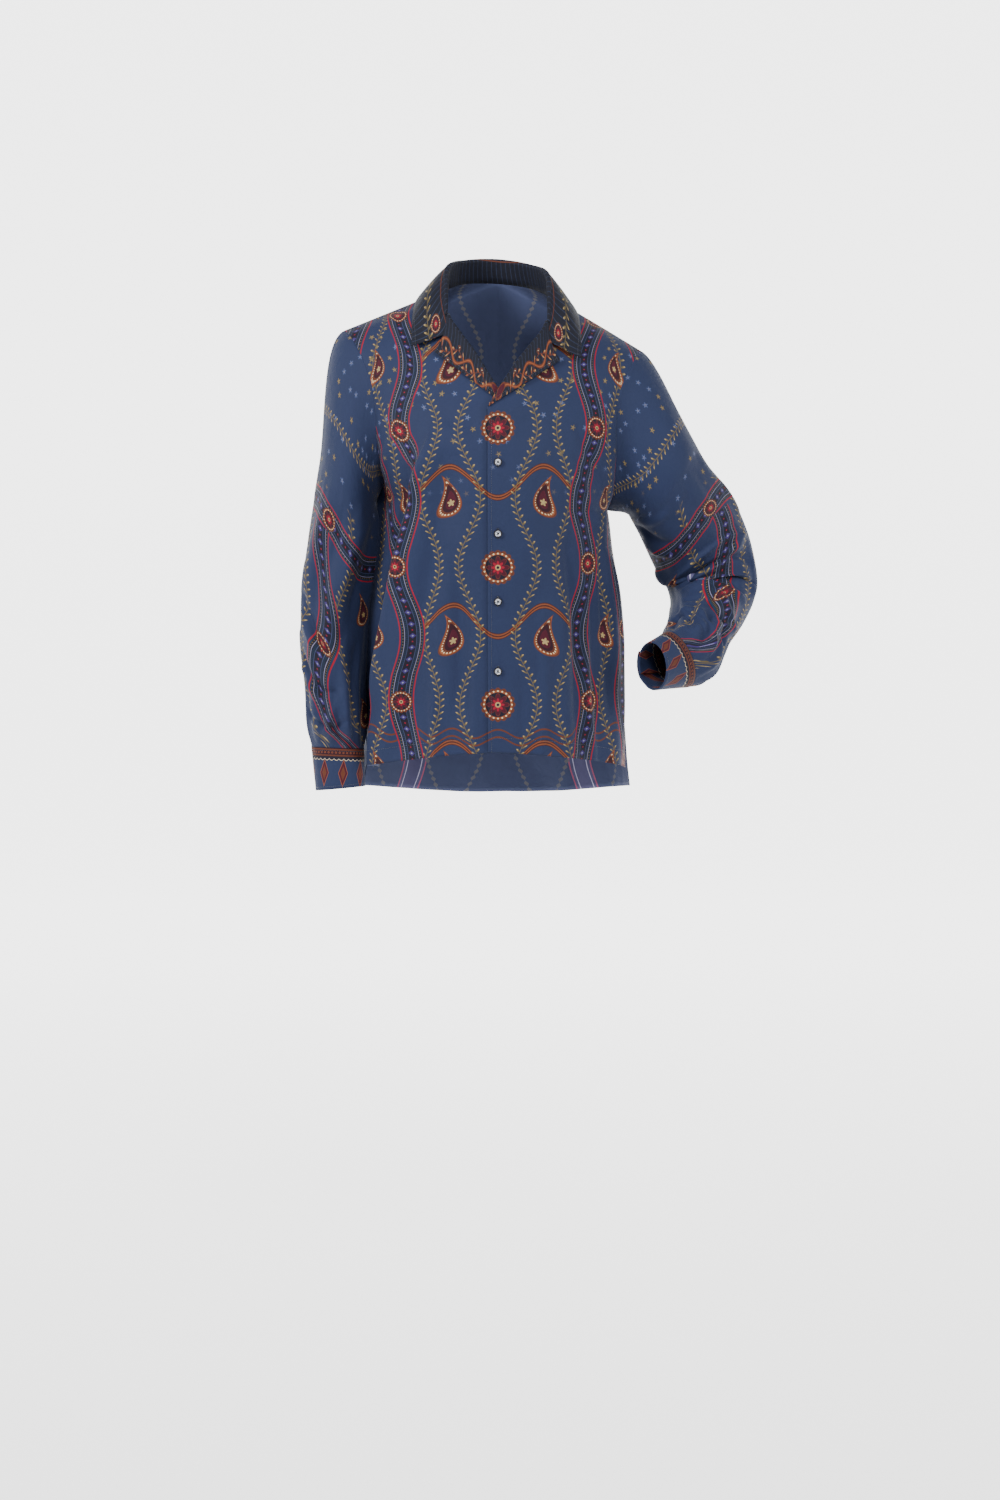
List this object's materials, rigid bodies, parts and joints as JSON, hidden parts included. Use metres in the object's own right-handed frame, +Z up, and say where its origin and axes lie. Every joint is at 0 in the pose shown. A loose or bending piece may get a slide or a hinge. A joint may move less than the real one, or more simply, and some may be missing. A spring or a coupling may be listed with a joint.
{
  "type": "blouse",
  "caption": "Long-sleeved printed cloth blouse with an open notched collar, turned lapels, a buttoned front, buttoned cuffs and side vents, in the form it takes when worn with one arm bent",
  "frame": {"origin": "The middle of the neck opening, on the line between the two points where the shoulders meet the collar", "axes": "+Z is up as worn, the wearer faces -Y, and the wearer's left is +X"},
  "size_m": [0.6207, 0.2936, 0.74],
  "materials": {
    "printed_cloth": "soft printed twill with a faint sheen",
    "collar_cloth": "the same cloth in its dark pinstriped part",
    "button": "polished, pearly"
  },
  "bodies": {
    "root": {"front_left": "printed_cloth", "front_right": "printed_cloth", "back": "printed_cloth", "sleeve_left": "printed_cloth", "sleeve_right": "printed_cloth", "collar": "collar_cloth", "cuff_left": "printed_cloth", "cuff_right": "printed_cloth", "button_1": "button", "button_2": "button", "button_3": "button", "button_4": "button", "cuff_button_left": "button", "cuff_button_right": "button"}
  },
  "joints": []
}
